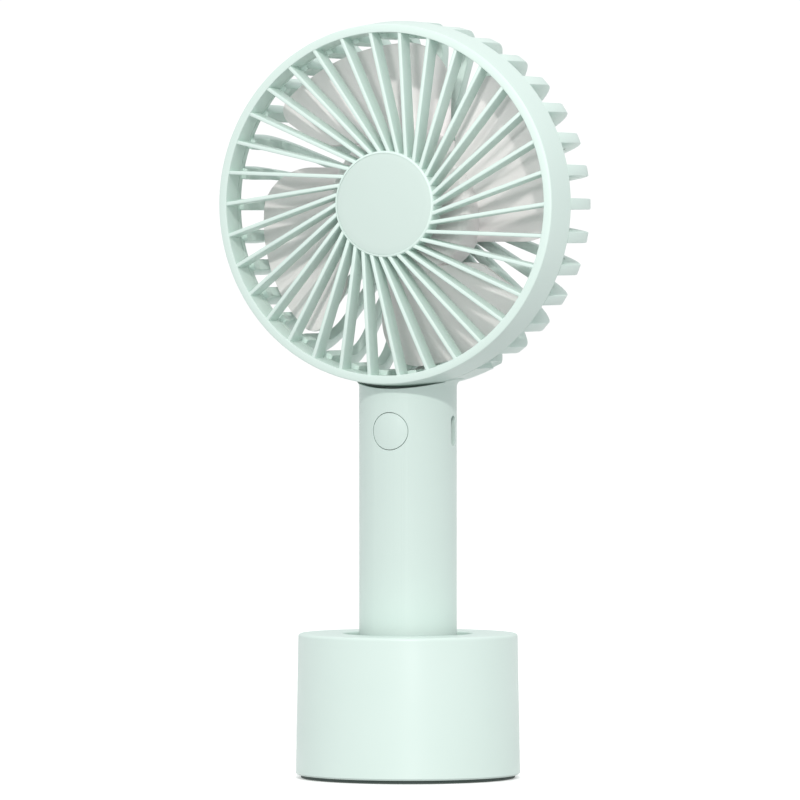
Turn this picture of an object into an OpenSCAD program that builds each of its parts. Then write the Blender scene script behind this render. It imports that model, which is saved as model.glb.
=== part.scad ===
// Handheld electric fan standing in its weighted desk dock.
// Z is up, the fan blows towards -Y, and the origin is the middle of the dock's underside.
// The head's own pieces are drawn in a head frame: its z points out of the front grille,
// its y points up, and "depth" is the distance behind the front face.

/* [Dock] */
// Dock diameter at the table
dock_d_bottom = 64.5; // [62:0.5:80]
// Dock diameter at its top edge
dock_d_top = 63.1; // [60:0.5:78]
// Height of the dock's top above the table
dock_h = 41.5; // [36:0.5:60]
// Wall of the dock's shell
dock_wall = 2.4; // [1.8:0.1:3]
// Rounding of the dock's top edge
dock_edge_r = 1.0; // [0.4:0.1:1.6]
// Width of the dark gap around the handle in the dock's top
recess_gap = 4.45; // [3:0.05:6]
// Inset of the rubber foot from the dock's side
foot_inset = 1.45; // [1:0.05:4]
// Thickness of the rubber foot
foot_t = 1.0; // [0.6:0.1:2]
// Height of the handle's underside above the table
socket_floor_z = 8.0; // [7.5:0.5:12]
// Radial clearance between the handle and its socket
socket_fit = 0.35; // [0.2:0.05:0.6]
// Wall of the socket liner
liner_wall = 1.8; // [1.2:0.1:2.4]

/* [Handle] */
// Outside diameter of the handle
handle_d = 28.1; // [27:0.1:34]
// Wall of the handle
handle_wall = 1.8; // [1.4:0.1:2.2]
// Length of the handle from its underside to the head's underside
handle_len = 104.1; // [100:0.5:140]
// Fillet between the handle and the head
neck_fillet = 2.3; // [1:0.1:4]
// Thickness of the handle's bottom cap
cap_t = 1.6; // [1.2:0.1:2.4]

/* [Head] */
// Outside diameter of the head
head_d = 105; // [100:0.5:130]
// Depth of the head from front face to back
head_depth = 36.5; // [36:0.5:42]
// Radius of the head's rear corner
head_corner_r = 10.5; // [8:0.5:12]
// Radial width of the front ring's bright face
ring_face = 2.4; // [1.8:0.1:3.5]
// Wall of the front ring at the grille
ring_wall = 3.5; // [3:0.1:4.5]
// Depth of the front ring
ring_depth = 12.6; // [11:0.1:14]
// Gap between a moving cover and the fixed head
cover_gap = 0.3; // [0.2:0.05:0.5]

/* [Front grille] */
// Number of spokes in the front grille
spoke_count = 34; // [24:2:40]
// Width of a spoke
spoke_w = 1.1; // [0.8:0.1:1.6]
// Depth of a spoke
spoke_depth = 6.5; // [4:0.5:8]
// How many pitches a spoke's inner end lags behind its outer end
spoke_lag = 2; // [0:0.5:3]
// Diameter of the grille's middle
grille_hub_d = 30.4; // [26:0.2:36]
// Thickness of the disc that closes the grille's middle
badge_t = 1.6; // [1:0.1:2]

/* [Rear grille] */
// Number of fins in the rear grille
fin_count = 34; // [24:2:40]
// Thickness of a fin
fin_t = 2.8; // [1.4:0.1:2.9]
// Width of a fin from its outer edge to its inner edge
fin_w = 4.8; // [3.6:0.1:5.5]
// Diameter of the rear grille's middle
rear_hub_d = 35; // [32:0.5:40]
// Wall that joins the head to the handle, in whole fin pitches to each side
saddle_pitches = 2.5; // [1.5:1:3.5]

/* [Impeller] */
// Diameter over the blades
impeller_d = 93; // [84:0.5:93.5]
// Number of blades
blade_count = 4; // [3:1:5]
// Diameter of the impeller's hub
impeller_hub_d = 43; // [38:0.5:48]
// Depth at which the impeller's hub starts
impeller_depth = 11; // [10:0.5:12]
// Length of the impeller's hub along its axis
impeller_hub_len = 15; // [13:0.5:16]
// Thickness of a blade
blade_t = 1.2; // [0.8:0.1:1.6]
// Angle between a blade's front edge and the line of its rear edge
blade_span = 56.5; // [45:0.5:70]
// Distance from the axis to the line of a blade's rear edge
blade_lead = 10.3; // [6:0.1:14]

/* [Motor] */
// Diameter of the motor's steel rotor cup
yoke_d = 30; // [28:0.5:33]
// Diameter of the motor shaft
shaft_d = 2.0; // [1.5:0.1:3]
// Number of stator teeth
tooth_count = 9; // [6:3:12]
// Running clearance of the shaft in its bearings
shaft_fit = 0.02; // [0.01:0.01:0.05]

/* [Controls] */
// Diameter of the push button
button_d = 10.5; // [8:0.1:13]
// Gap around the push button
button_gap = 0.2; // [0.15:0.05:0.4]
// Travel of the push button
button_travel = 0.3; // [0.2:0.05:0.4]
// Height of the button's centre above the handle's underside
button_rise = 91.7; // [88:0.1:94]
// Length of the charging slot
port_len = 8.7; // [8:0.1:10]
// Width of the charging slot
port_w = 3.1; // [2.8:0.1:4]

/* [Cell] */
// Diameter of the rechargeable cell
cell_d = 18.4; // [14:0.1:18.6]
// Length of the rechargeable cell
cell_len = 65; // [48:0.5:66]

/* [Hidden] */
$fn = 96;

// Colours
mint = "#dcefe6";
mint_shade = "#cfe5da";
blade_grey = "#c9c9c7";
rubber_grey = "#6f7f78";
steel = "#a9adb0";
copper = "#b87333";
board_green = "#2f6b4a";

// Small shares used all over
touch = 0.05;
overlap = 0.4;
wire_d = 1.1;

// Dock
dock_r_bottom = dock_d_bottom / 2;
dock_r_top = dock_d_top / 2;
handle_r = handle_d / 2;
recess_r = handle_r + recess_gap;
dock_inner_top = dock_r_top - dock_wall;
dock_inner_bottom = dock_r_bottom - dock_wall;
dock_ceiling = dock_h - dock_wall;
bottom_chamfer = 0.5;
plate_t = 2.4;
plate_top = foot_t + plate_t;
plate_r = dock_inner_bottom - 0.2;
liner_bore_r = handle_r + socket_fit;
liner_r = liner_bore_r + liner_wall;
liner_floor_t = 2.0;
flange_t = 1.8;
boss_r = 2.8;
boss_ring_r = dock_inner_top - boss_r - 0.2;
flange_r = boss_ring_r - boss_r - 0.3;
base_screw_count = 3;
screw_r = 1.0;
screw_head_r = 2.0;
ballast_in_r = liner_r + 0.3;
ballast_out_r = boss_ring_r - boss_r - 0.2;
ballast_h = dock_ceiling - flange_t - plate_top - 8;

// Handle
handle_z = socket_floor_z + 0.1;
handle_bore_r = handle_r - handle_wall;
neck_z = handle_z + handle_len;
frame_fit = 0.25;
frame_r = handle_bore_r - frame_fit;
frame_wall = 1.1;
tube_z = handle_z + cap_t;
frame_floor_z = tube_z + 3.2;
frame_floor_t = 1.8;
cell_z = frame_floor_z + frame_floor_t + 0.4;
cell_top = cell_z + cell_len;
port_z = handle_z + button_rise;
button_z = handle_z + button_rise;

// Head
head_r = head_d / 2;
head_z = neck_z + head_r;
front = head_depth / 2;
ring_front_r = head_r - ring_wall + ring_face;
ring_in_r = head_r - ring_wall;
lap_depth = ring_depth - 4.6;
lap_gap = 0.2;
lap_r = head_r - 1.6;
rim_out_r = lap_r - lap_gap;
rim_back = ring_depth + cover_gap;
wall_depth = head_depth - head_corner_r;
corner_in_r = head_r - head_corner_r;
saddle_in_r = rim_out_r + 0.3;
fin_in_r = head_r - fin_w;
fin_back_depth = head_depth - fin_w;
rim_in_back = ring_depth - 2.6;
fin_pitch = 360 / fin_count;
saddle_angle = saddle_pitches * fin_pitch;
rear_hub_r = rear_hub_d / 2;
rear_floor_t = 2.4;
lug_count = 3;
lug_angle = 8;
twist_max = 12;
lug_h = 0.8;
lug_depth = lap_depth + 1.8;
lug_t = 1.6;

// Impeller and motor
impeller_r = impeller_d / 2;
impeller_hub_r = impeller_hub_d / 2;
hub_wall = 1.3;
hub_face = 1.6;
blade_front = impeller_depth + 1.6;
blade_rear = impeller_depth + impeller_hub_len - 0.8;
blade_root_r = impeller_hub_r - hub_wall / 2;
trail_angle = 56;
trail_sweep = 19.5;
sweep_reach = 10.5;
lead_corner = 12;
trail_corner = 5;
shaft_r = shaft_d / 2;
yoke_r = yoke_d / 2;
yoke_wall = 0.9;
yoke_depth = impeller_depth + 3;
yoke_len = 11;
magnet_out_r = yoke_r - yoke_wall;
magnet_in_r = magnet_out_r - 1.6;
stator_r = magnet_in_r - 0.5;
stator_depth = yoke_depth + 2.5;
stator_len = 7;
bearing_r = 3;
bearing_len = 2.5;
tube_r = 3.9;
core_r = 5.6;
tooth_w = 1.6;
coil_w = tooth_w + 1.7;
coil_in_r = core_r + 0.7;
coil_out_r = stator_r - 1.6;
mboard_depth = yoke_depth + yoke_len + 1.9;
mboard_t = 1.0;
mboard_r = yoke_r - 1.5;
mount_step_r = 4.8;
mount_flange_r = rear_hub_r - 6;
mount_flange_t = 1.6;
hub_floor_depth = head_depth - rear_floor_t;

// Circuit board and controls
board_y = 1.4;
board_t = 1.2;
board_w = 2 * (handle_bore_r - 2.6);
board_z = cell_top + 3.2;
board_top = neck_z - 3.8;
switch_side = 6;
switch_h = 3.5;
plunger_r = 1.75;
plunger_fit = 0.1;
plunger_y = -7.7;
button_r = button_d / 2;
button_flange_r = button_r + 0.9;
flange_y = 0.3 - sqrt(pow(handle_bore_r, 2) - pow(button_flange_r, 2));
lead_y = board_y + board_t + 1.7;
lead_hole_r = 3;
lead_spread = 3.4;
button_hole_r = button_r + button_gap;

// Shared shapes

// Points of an arc in a 2D outline
function arc(cx, cy, r, from, to, steps = 8) =
    [for (i = [0:steps]) let (a = from + (to - from) * i / steps) [cx + r * cos(a), cy + r * sin(a)]];

// Height in the head frame of a given depth behind the front face
function at(depth) = front - depth;

// A [radius, depth] outline as [radius, height] points of the head frame
function deep(points) = [for (p = points) [p[0], at(p[1])]];

// Puts what is drawn in the head frame into its place
module in_head() {
    translate([0, 0, head_z])
        rotate([90, 0, 0])
            children();
}

// A disc or ring of the head frame between two depths
module ring_at(r, depth_a, depth_b, bore = 0) {
    translate([0, 0, at(depth_b)])
        difference() {
            cylinder(r = r, h = depth_b - depth_a);
            if (bore > 0)
                translate([0, 0, -1])
                    cylinder(r = bore, h = depth_b - depth_a + 2);
        }
}

// Copies its children evenly round the z axis
module around(count, start = 0) {
    for (i = [0:count - 1])
        rotate([0, 0, start + i * 360 / count])
            children();
}

// Direction of a wire at one of its points
function heading(points, i) =
    let (
        before = points[max(i - 1, 0)],
        after = points[min(i + 1, len(points) - 1)],
        there = i > 0 ? (points[i] - before) / norm(points[i] - before) : [0, 0, 0],
        onward = i < len(points) - 1 ? (after - points[i]) / norm(after - points[i]) : [0, 0, 0],
        way = there + onward)
    way / norm(way);

// A round wire swept through a list of points
module wire(points, d = wire_d) {
    sides = 10;
    last = len(points) - 1;
    corners = [
        for (i = [0:last])
            let (
                way = heading(points, i),
                across = cross(way, abs(way[0]) < 0.8 ? [1, 0, 0] : [0, 1, 0]),
                u = across / norm(across),
                v = cross(way, u))
            for (k = [0:sides - 1])
                points[i] + d / 2 * (cos(k * 360 / sides) * u + sin(k * 360 / sides) * v)];
    skin = [
        for (i = [0:last - 1], k = [0:sides - 1])
            let (a = i * sides + k, b = i * sides + (k + 1) % sides)
                each [[a, a + sides, b], [b, a + sides, b + sides]]];
    start = [[for (k = [0:sides - 1]) k]];
    end = [[for (k = [sides - 1:-1:0]) last * sides + k]];
    polyhedron(corners, concat(skin, start, end));
}

// A screw with its head down and its shank pointing up
module screw_up(head_r, head_h, shank_r, shank_len) {
    difference() {
        union() {
            cylinder(r = head_r, h = head_h, $fn = 32);
            translate([0, 0, head_h])
                cylinder(r = shank_r, h = shank_len, $fn = 32);
        }
        for (a = [0, 90])
            rotate([0, 0, a])
                translate([-head_r * 0.6, -0.2, -1])
                    cube([head_r * 1.2, 0.4, 1 + head_h * 0.5]);
    }
}

// Dock

module foot_pad() {
    color(rubber_grey)
        difference() {
            cylinder(r = dock_r_bottom - foot_inset, h = foot_t, $fn = 128);
            translate([0, 0, -touch])
                cylinder(r = dock_r_bottom - foot_inset - 9, h = foot_t * 0.3 + touch, $fn = 128);
        }
}

module base_plate() {
    color(mint_shade)
        difference() {
            union() {
                translate([0, 0, foot_t])
                    cylinder(r = plate_r, h = plate_t);
                translate([0, 0, foot_t])
                    difference() {
                        cylinder(r = liner_r - 1, h = socket_floor_z - liner_floor_t - foot_t);
                        translate([0, 0, plate_t])
                            cylinder(r = liner_r - 3, h = socket_floor_z);
                    }
            }
            around(base_screw_count, 90)
                translate([boss_ring_r, 0, 0]) {
                    cylinder(r = screw_r + 0.3, h = plate_top + 1, $fn = 32);
                    cylinder(r = screw_head_r + 0.2, h = foot_t + 1.2, $fn = 32);
                }
        }
}

module base_screws() {
    color(steel)
        around(base_screw_count, 90)
            translate([boss_ring_r, 0, foot_t + touch])
                screw_up(screw_head_r, 1.1, screw_r - 0.02, 9);
}

module ballast_weight() {
    color(steel)
        translate([0, 0, plate_top])
            difference() {
                cylinder(r = ballast_out_r, h = ballast_h);
                translate([0, 0, -1])
                    cylinder(r = ballast_in_r, h = ballast_h + 2);
            }
}

module base_shell() {
    e = dock_edge_r;
    outline = concat(
        [[dock_inner_bottom, foot_t], [dock_r_bottom - bottom_chamfer, foot_t]],
        [[dock_r_bottom, foot_t + bottom_chamfer]],
        arc(dock_r_top - e, dock_h - e, e, 0, 90, 6),
        [[recess_r + 0.5, dock_h], [recess_r, dock_h - 0.5]],
        [[recess_r, dock_ceiling], [dock_inner_top, dock_ceiling]]);
    color(mint)
        difference() {
            union() {
                rotate_extrude($fn = 128)
                    polygon(outline);
                around(base_screw_count, 90)
                    translate([boss_ring_r, 0, plate_top + touch])
                        cylinder(r = boss_r, h = dock_ceiling - plate_top + overlap, $fn = 32);
            }
            around(base_screw_count, 90)
                translate([boss_ring_r, 0, plate_top - 1])
                    cylinder(r = screw_r, h = 13, $fn = 32);
        }
}

module socket_liner() {
    lead_in = 0.8;
    outline = [
        [0, socket_floor_z - liner_floor_t], [liner_r, socket_floor_z - liner_floor_t],
        [liner_r, dock_ceiling - flange_t], [flange_r, dock_ceiling - flange_t],
        [flange_r, dock_ceiling], [liner_bore_r + lead_in, dock_ceiling],
        [liner_bore_r, dock_ceiling - lead_in], [liner_bore_r, socket_floor_z],
        [0, socket_floor_z]];
    color(mint_shade)
        rotate_extrude()
            polygon(outline);
}

// Handle

// Everything that the head fills, which the top of the handle is cut back from
module head_space() {
    outline = concat(
        [[0, -4], [head_r + cover_gap, -4], [head_r + cover_gap, rim_back]],
        [[saddle_in_r, rim_back], [saddle_in_r, wall_depth], [head_r + touch, wall_depth]],
        arc(corner_in_r, wall_depth, head_corner_r + touch, 10, 90),
        [[0, head_depth + touch]]);
    in_head()
        rotate_extrude($fn = 180)
            polygon(deep(outline));
}

// The part of the head's wall that is one piece with the handle, before head_space() trims it
module saddle_wall() {
    in_head()
        rotate([0, 0, 270 - saddle_angle])
            rotate_extrude(angle = 2 * saddle_angle, $fn = 180)
                polygon(deep([
                    [saddle_in_r - 2, rim_back - 1], [head_r, rim_back - 1],
                    [head_r, wall_depth + 1], [saddle_in_r - 2, wall_depth + 1]]));
}

// The handle's tube, closed at its top and flared where it meets the head
module handle_tube(plug_z) {
    f = neck_fillet;
    top_z = neck_z + 9;
    outline = concat(
        [[handle_bore_r, tube_z], [handle_r, tube_z]],
        arc(handle_r + f, neck_z, f, 180, 90, 6),
        [[handle_r + f, top_z], [0, top_z], [0, plug_z], [handle_bore_r, plug_z]]);
    rotate_extrude($fn = 128)
        polygon(outline);
}

module port_outline(len, width) {
    c = width * 0.3;
    polygon([
        [-len / 2, width / 2], [len / 2, width / 2], [len / 2, -width / 2 + c],
        [len / 2 - c, -width / 2], [-len / 2 + c, -width / 2], [-len / 2, -width / 2 + c]]);
}

module handle_shell() {
    plug_z = neck_z - 2.2;
    color(mint)
        difference() {
            union() {
                handle_tube(plug_z);
                saddle_wall();
            }
            head_space();
            translate([0, 0, button_z])
                rotate([90, 0, 0])
                    cylinder(r = button_hole_r, h = handle_r + 2, $fn = 64);
            translate([0, 0, port_z])
                rotate([0, 90, 0])
                    linear_extrude(height = handle_r + 2)
                        port_outline(port_len, port_w);
            translate([0, lead_y, plug_z - 1])
                cylinder(r = lead_hole_r, h = 20, $fn = 32);
        }
}

module bottom_cap() {
    chamfer = 0.6;
    spigot_r = handle_bore_r - 0.1;
    outline = [
        [0, handle_z], [handle_r - chamfer, handle_z], [handle_r, handle_z + chamfer],
        [handle_r, tube_z], [spigot_r, tube_z], [spigot_r, frame_floor_z],
        [spigot_r - 1.4, frame_floor_z], [spigot_r - 1.4, tube_z], [0, tube_z]];
    color(mint)
        difference() {
            rotate_extrude()
                polygon(outline);
            for (side = [-1, 1])
                translate([side * 6, 0, handle_z - 1])
                    cylinder(r = screw_r + 0.2, h = cap_t + 2, $fn = 32);
            for (side = [-1, 1])
                translate([side * 6, 0, handle_z - 1])
                    cylinder(r = screw_head_r, h = 2, $fn = 32);
        }
}

module cap_screws() {
    color(steel)
        for (side = [-1, 1])
            translate([side * 6, 0, handle_z + 0.1])
                screw_up(screw_head_r - 0.15, 0.9, screw_r - 0.02, frame_floor_z - handle_z + 0.4);
}

// The sled that holds the cell and the circuit board
module inner_frame() {
    post_h = frame_r - 1.5 - board_y - board_t;
    shelf_reach = frame_r - board_y - board_t - 5.2;
    color("#e9ecea")
        difference() {
            union() {
                translate([0, 0, frame_floor_z])
                    cylinder(r = frame_r, h = frame_floor_t);
                translate([0, 0, frame_floor_z])
                    rotate([0, 0, 20])
                        rotate_extrude(angle = 140)
                            translate([frame_r - frame_wall, 0])
                                square([frame_wall, board_top - frame_floor_z]);
                for (z = [board_z + 3, board_top - 3])
                    translate([0, board_y + board_t, z])
                        rotate([-90, 0, 0])
                            cylinder(r = 2.2, h = post_h + 1, $fn = 32);
                translate([-5, board_y + board_t + 4, cell_top + 0.5])
                    cube([10, shelf_reach, 1.4]);
            }
            for (side = [-1, 1])
                translate([side * 6, 0, frame_floor_z - 1])
                    cylinder(r = screw_r, h = 2.6, $fn = 32);
            for (z = [board_z + 3, board_top - 3])
                translate([0, board_y, z])
                    rotate([-90, 0, 0])
                        cylinder(r = 0.8, h = 6, $fn = 32);
        }
}

module battery_cell() {
    color("#3d7fc4")
        translate([0, 0, cell_z])
            cylinder(d = cell_d, h = cell_len - 1);
    color(steel)
        translate([0, 0, cell_z + cell_len - 1])
            cylinder(r = 3, h = 1, $fn = 48);
}

module battery_tabs() {
    color(steel) {
        translate([-2.5, -cell_d / 2, cell_z - 0.2])
            cube([5, cell_d * 0.75, 0.2]);
        translate([-2.5, -4, cell_top])
            cube([5, 8, 0.2]);
    }
}

module battery_leads() {
    side_y = -(cell_d / 2 + wire_d / 2 + 0.3);
    color("#c33a32")
        wire([[1.5, -3, cell_top + 0.8], [4, -2, cell_top + 2], [6, 0, board_z + 1.5]]);
    color("#2b2b2b")
        wire([[-1, side_y, cell_z], [-1, side_y, cell_top], [-5, -1, board_z + 1.5]]);
}

module circuit_board() {
    color(board_green)
        difference() {
            translate([-board_w / 2, board_y, board_z])
                cube([board_w, board_t, board_top - board_z]);
            for (z = [board_z + 3, board_top - 3])
                translate([0, board_y - 1, z])
                    rotate([-90, 0, 0])
                        cylinder(r = 1.0, h = 4, $fn = 32);
        }
}

module board_screws() {
    color(steel)
        for (z = [board_z + 3, board_top - 3])
            translate([0, board_y - 0.8, z])
                rotate([-90, 0, 0])
                    screw_up(1.5, 0.8, 0.78, 5);
}

module board_parts() {
    color("#2a2d2f") {
        translate([-board_w / 2 + 1, board_y - 1.4, button_z - 4])
            cube([4.4, 1.4, 5]);
        translate([-board_w / 2 + 1.6, board_y - 1.0, button_z + 3])
            cube([3, 1.0, 3]);
        translate([-board_w / 2 + 1.4, board_y - 2.2, board_z + 4.6])
            cube([3.8, 2.2, 3.8]);
    }
}

module switch_body() {
    color("#2a2d2f")
        translate([0, board_y, button_z])
            rotate([90, 0, 0])
                difference() {
                    translate([-switch_side / 2, -switch_side / 2, 0])
                        cube([switch_side, switch_side, switch_h]);
                    translate([0, 0, 0.8])
                        cylinder(r = plunger_r + plunger_fit, h = switch_h, $fn = 48);
                }
}

module charge_socket() {
    len = port_len - 1.2;
    width = port_w - 0.5;
    wall = 0.3;
    mouth = handle_bore_r - 0.4;
    color(steel)
        translate([mouth - 5.4, 0, port_z])
            rotate([0, 90, 0])
                difference() {
                    linear_extrude(height = 5.4)
                        port_outline(len, width);
                    translate([0, 0, wall])
                        linear_extrude(height = 6)
                            port_outline(len - 2 * wall, width - 2 * wall);
                }
}

module socket_tongue() {
    mouth = handle_bore_r - 0.4;
    color("#2a2d2f")
        translate([mouth - 5.1, -0.3, port_z - 1.9])
            cube([4.2, 0.6, 3.8]);
}

module button_cap() {
    color(mint) {
        intersection() {
            translate([0, flange_y, button_z])
                rotate([90, 0, 0])
                    cylinder(r = button_r, h = 8, $fn = 64);
            translate([0, 0, button_z - button_d])
                cylinder(r = handle_r, h = 2 * button_d, $fn = 128);
        }
        translate([0, flange_y + 1, button_z])
            rotate([90, 0, 0])
                cylinder(r = button_flange_r, h = 1, $fn = 64);
        translate([0, plunger_y, button_z])
            rotate([90, 0, 0])
                cylinder(r = 2.2, h = plunger_y - flange_y - 0.5, $fn = 48);
    }
}

module switch_plunger() {
    color("#e9ecea")
        translate([0, board_y - 2.0, button_z])
            rotate([90, 0, 0])
                cylinder(r = plunger_r, h = board_y - 2.0 - plunger_y, $fn = 48);
}

// Head: the fixed rear

// One fin of the rear grille; the fins inside the saddle stop at its wall
module fin(inside_saddle) {
    outer_r = inside_saddle ? saddle_in_r - touch : head_r;
    outline = concat(
        [[rim_out_r - 0.3, rim_in_back - 0.6], [rim_out_r - 0.3, rim_back]],
        [[outer_r, rim_back], [outer_r, wall_depth + touch]],
        arc(corner_in_r, wall_depth + touch, head_corner_r - touch, 0, 90),
        [[rear_hub_r - 0.8, head_depth], [rear_hub_r - 0.8, fin_back_depth]],
        arc(corner_in_r, wall_depth, head_corner_r - fin_w, 90, 0, 6),
        [[fin_in_r, rim_in_back - 0.3], [ring_in_r + 0.3, rim_in_back - 0.3]],
        [[ring_in_r + 0.3, rim_in_back - 0.6]]);
    rotate([90, 0, 0])
        linear_extrude(height = fin_t, center = true)
            polygon(deep(outline));
}

module rear_grille() {
    channel_w = 6;
    channel_out = corner_in_r;
    hub_lip_depth = fin_back_depth - 0.3;
    hub_back_depth = head_depth - 0.2;
    color(mint)
        in_head() {
            difference() {
                union() {
                    rotate_extrude()
                        polygon(deep([
                            [ring_in_r, lap_depth + 0.2], [rim_out_r, lap_depth + 0.2],
                            [rim_out_r, rim_back + 0.3], [rim_out_r - 0.6, rim_back + 0.3],
                            [rim_out_r - 0.6, rim_in_back], [ring_in_r, rim_in_back]]));
                    for (i = [0:fin_count - 1]) {
                        angle = (i + 0.5) * fin_pitch;
                        rotate([0, 0, 270 + angle])
                            fin(min(angle, 360 - angle) < saddle_angle + 1);
                    }
                    rotate_extrude()
                        polygon(deep([
                            [tube_r + touch, hub_floor_depth], [rear_hub_r - 1.6, hub_floor_depth],
                            [rear_hub_r - 1.6, hub_lip_depth], [rear_hub_r, hub_lip_depth],
                            [rear_hub_r, hub_back_depth], [tube_r + touch, hub_back_depth]]));
                    translate([-channel_w / 2, -channel_out, at(head_depth)])
                        cube([channel_w, channel_out - rear_hub_r + 0.8, fin_w + 0.5]);
                }
                translate([-wire_d - 0.2, -channel_out - 1, at(fin_back_depth + 1.2)])
                    cube([2 * wire_d + 0.4, channel_out - rear_hub_r + 4, 3]);
                around(3, 30)
                    translate([mount_flange_r - 2.4, 0, at(head_depth) - 1])
                        cylinder(r = 0.8, h = rear_floor_t + 2, $fn = 32);
            }
            around(lug_count, 30)
                rotate([0, 0, -lug_angle / 2])
                    rotate_extrude(angle = lug_angle, $fn = 180)
                        polygon(deep([
                            [rim_out_r - 0.4, lug_depth], [rim_out_r + lug_h, lug_depth],
                            [rim_out_r + lug_h, lug_depth + lug_t], [rim_out_r - 0.4, lug_depth + lug_t]]));
        }
}

// Motor: the fixed half

module motor_mount() {
    tube_front = stator_depth - 0.9;
    outline = deep([
        [bearing_r, tube_front], [tube_r, tube_front], [tube_r, mboard_depth + mboard_t],
        [mount_step_r, mboard_depth + mboard_t], [mount_step_r, hub_floor_depth - mount_flange_t],
        [mount_flange_r, hub_floor_depth - mount_flange_t], [mount_flange_r, hub_floor_depth],
        [tube_r, hub_floor_depth], [tube_r, head_depth - 0.4], [0, head_depth - 0.4],
        [0, head_depth - 1.6], [bearing_r, head_depth - 1.6]]);
    color("#d8b46a")
        in_head()
            difference() {
                rotate_extrude()
                    polygon(outline);
                around(3, 30)
                    translate([mount_flange_r - 2.4, 0, at(hub_floor_depth) - 1])
                        cylinder(r = 1.0, h = mount_flange_t + 2, $fn = 32);
            }
}

module motor_screws() {
    color(steel)
        in_head()
            around(3, 30)
                translate([mount_flange_r - 2.4, 0, at(hub_floor_depth - mount_flange_t - 0.8)])
                    rotate([180, 0, 0])
                        screw_up(1.6, 0.8, 0.78, mount_flange_t + rear_floor_t - 0.4);
}

module ball_bearings() {
    color(steel)
        in_head()
            for (depth = [stator_depth - 0.6, hub_floor_depth - 4])
                ring_at(bearing_r - touch, depth, depth + bearing_len, shaft_r + shaft_fit);
}

module stator_outline(tip) {
    difference() {
        union() {
            circle(r = core_r);
            around(tooth_count)
                translate([0, -tooth_w / 2])
                    square([stator_r - 0.6, tooth_w]);
            if (tip)
                around(tooth_count)
                    intersection() {
                        difference() {
                            circle(r = stator_r);
                            circle(r = stator_r - 1.1);
                        }
                        translate([0, -tooth_w * 1.8])
                            square([stator_r + 1, tooth_w * 3.6]);
                    }
        }
        circle(r = tube_r + touch);
    }
}

module stator_core() {
    color("#8f9496")
        in_head()
            translate([0, 0, at(stator_depth + stator_len)])
                linear_extrude(height = stator_len)
                    stator_outline(true);
}

module stator_insulator() {
    color("#f1efe6")
        in_head()
            for (depth = [stator_depth - 0.6, stator_depth + stator_len])
                translate([0, 0, at(depth + 0.6)])
                    linear_extrude(height = 0.6)
                        stator_outline(false);
}

module stator_windings() {
    reach = 1.5;
    color(copper)
        in_head()
            around(tooth_count)
                difference() {
                    translate([coil_in_r, -coil_w / 2, at(stator_depth + stator_len + reach)])
                        cube([coil_out_r - coil_in_r, coil_w, stator_len + 2 * reach]);
                    translate([0, -tooth_w / 2 - touch, at(stator_depth + stator_len + 0.65)])
                        cube([stator_r, tooth_w + 2 * touch, stator_len + 1.3]);
                }
}

module motor_board() {
    color(board_green)
        in_head()
            ring_at(mboard_r, mboard_depth, mboard_depth + mboard_t, tube_r + touch);
}

module motor_leads() {
    lane = wire_d / 2 + 0.05;
    run_y = fin_back_depth + 0.6 - front;
    end_y = mboard_depth + mboard_t + wire_d / 2 - front;
    end_z = head_z - mboard_r + 1.5;
    color("#c8ccd0")
        for (side = [-1, 1])
            wire([
                [side * lead_spread, lead_y, board_top - 9],
                [side * lead_spread, lead_y, board_top - 1],
                [side * lane, lead_y, neck_z + 1.5],
                [side * lane, lead_y + 1.2, neck_z + 4],
                [side * lane, run_y - 2.5, neck_z + 6],
                [side * lane, run_y, neck_z + 10],
                [side * lane, run_y, end_z - 5],
                [side * lane, end_y, end_z]]);
}

// Impeller and the motor's turning half

// Extra angle, in degrees, that rounds a blade's outer corner
function corner_angle(r, c) =
    r > impeller_r - c
        ? (c - sqrt(max(0, c * c - pow(r - impeller_r + c, 2)))) / r * 180 / PI
        : 0;

// Angle of a blade's front edge and rear edge before their corners are rounded
function trail_at(r) =
    trail_angle - trail_sweep * pow(max(0, 1 - (r - impeller_hub_r) / sweep_reach), 2);
function lead_at(r) = trail_angle - blade_span - asin(blade_lead / r);

// Middle surface of a blade: across goes from 0 at its front edge to 1 at its rear edge
function blade_point(r, across, side) =
    let (
        trail = trail_at(r) - corner_angle(r, trail_corner),
        lead = lead_at(r) + corner_angle(r, lead_corner),
        angle = trail + (lead - trail) * across,
        share = (trail_at(r) - angle) / (trail_at(r) - lead_at(r)),
        depth = blade_front + (blade_rear - blade_front) * pow(share, 1.12),
        half = blade_t / 2 * (1 - 0.55 * pow(2 * across - 1, 4)))
    [r * cos(angle), r * sin(angle), at(depth) + side * half];

module blade() {
    rows = 12;
    columns = 14;
    wide = columns + 1;
    sheet = (rows + 1) * wide;
    tip_r = impeller_r - 0.02;
    points = [
        for (side = [1, -1], i = [0:rows], j = [0:columns])
            blade_point(blade_root_r + (tip_r - blade_root_r) * i / rows, j / columns, side)];
    upper = [
        for (i = [0:rows - 1], j = [0:columns - 1])
            let (a = i * wide + j)
                each [[a, a + wide, a + 1], [a + 1, a + wide, a + wide + 1]]];
    lower = [for (f = upper) [f[2] + sheet, f[1] + sheet, f[0] + sheet]];
    ends = [
        for (i = [0:rows - 1], last = [0, columns])
            let (a = i * wide + last, b = a + wide)
                each last == 0
                    ? [[a, a + sheet, b], [b, a + sheet, b + sheet]]
                    : [[a, b, a + sheet], [b, b + sheet, a + sheet]]];
    sides = [
        for (j = [0:columns - 1], last = [0, rows])
            let (a = last * wide + j, b = a + 1)
                each last == 0
                    ? [[a, b, a + sheet], [b, b + sheet, a + sheet]]
                    : [[a, a + sheet, b], [b, a + sheet, b + sheet]]];
    polyhedron(points, concat(upper, lower, ends, sides));
}

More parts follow.
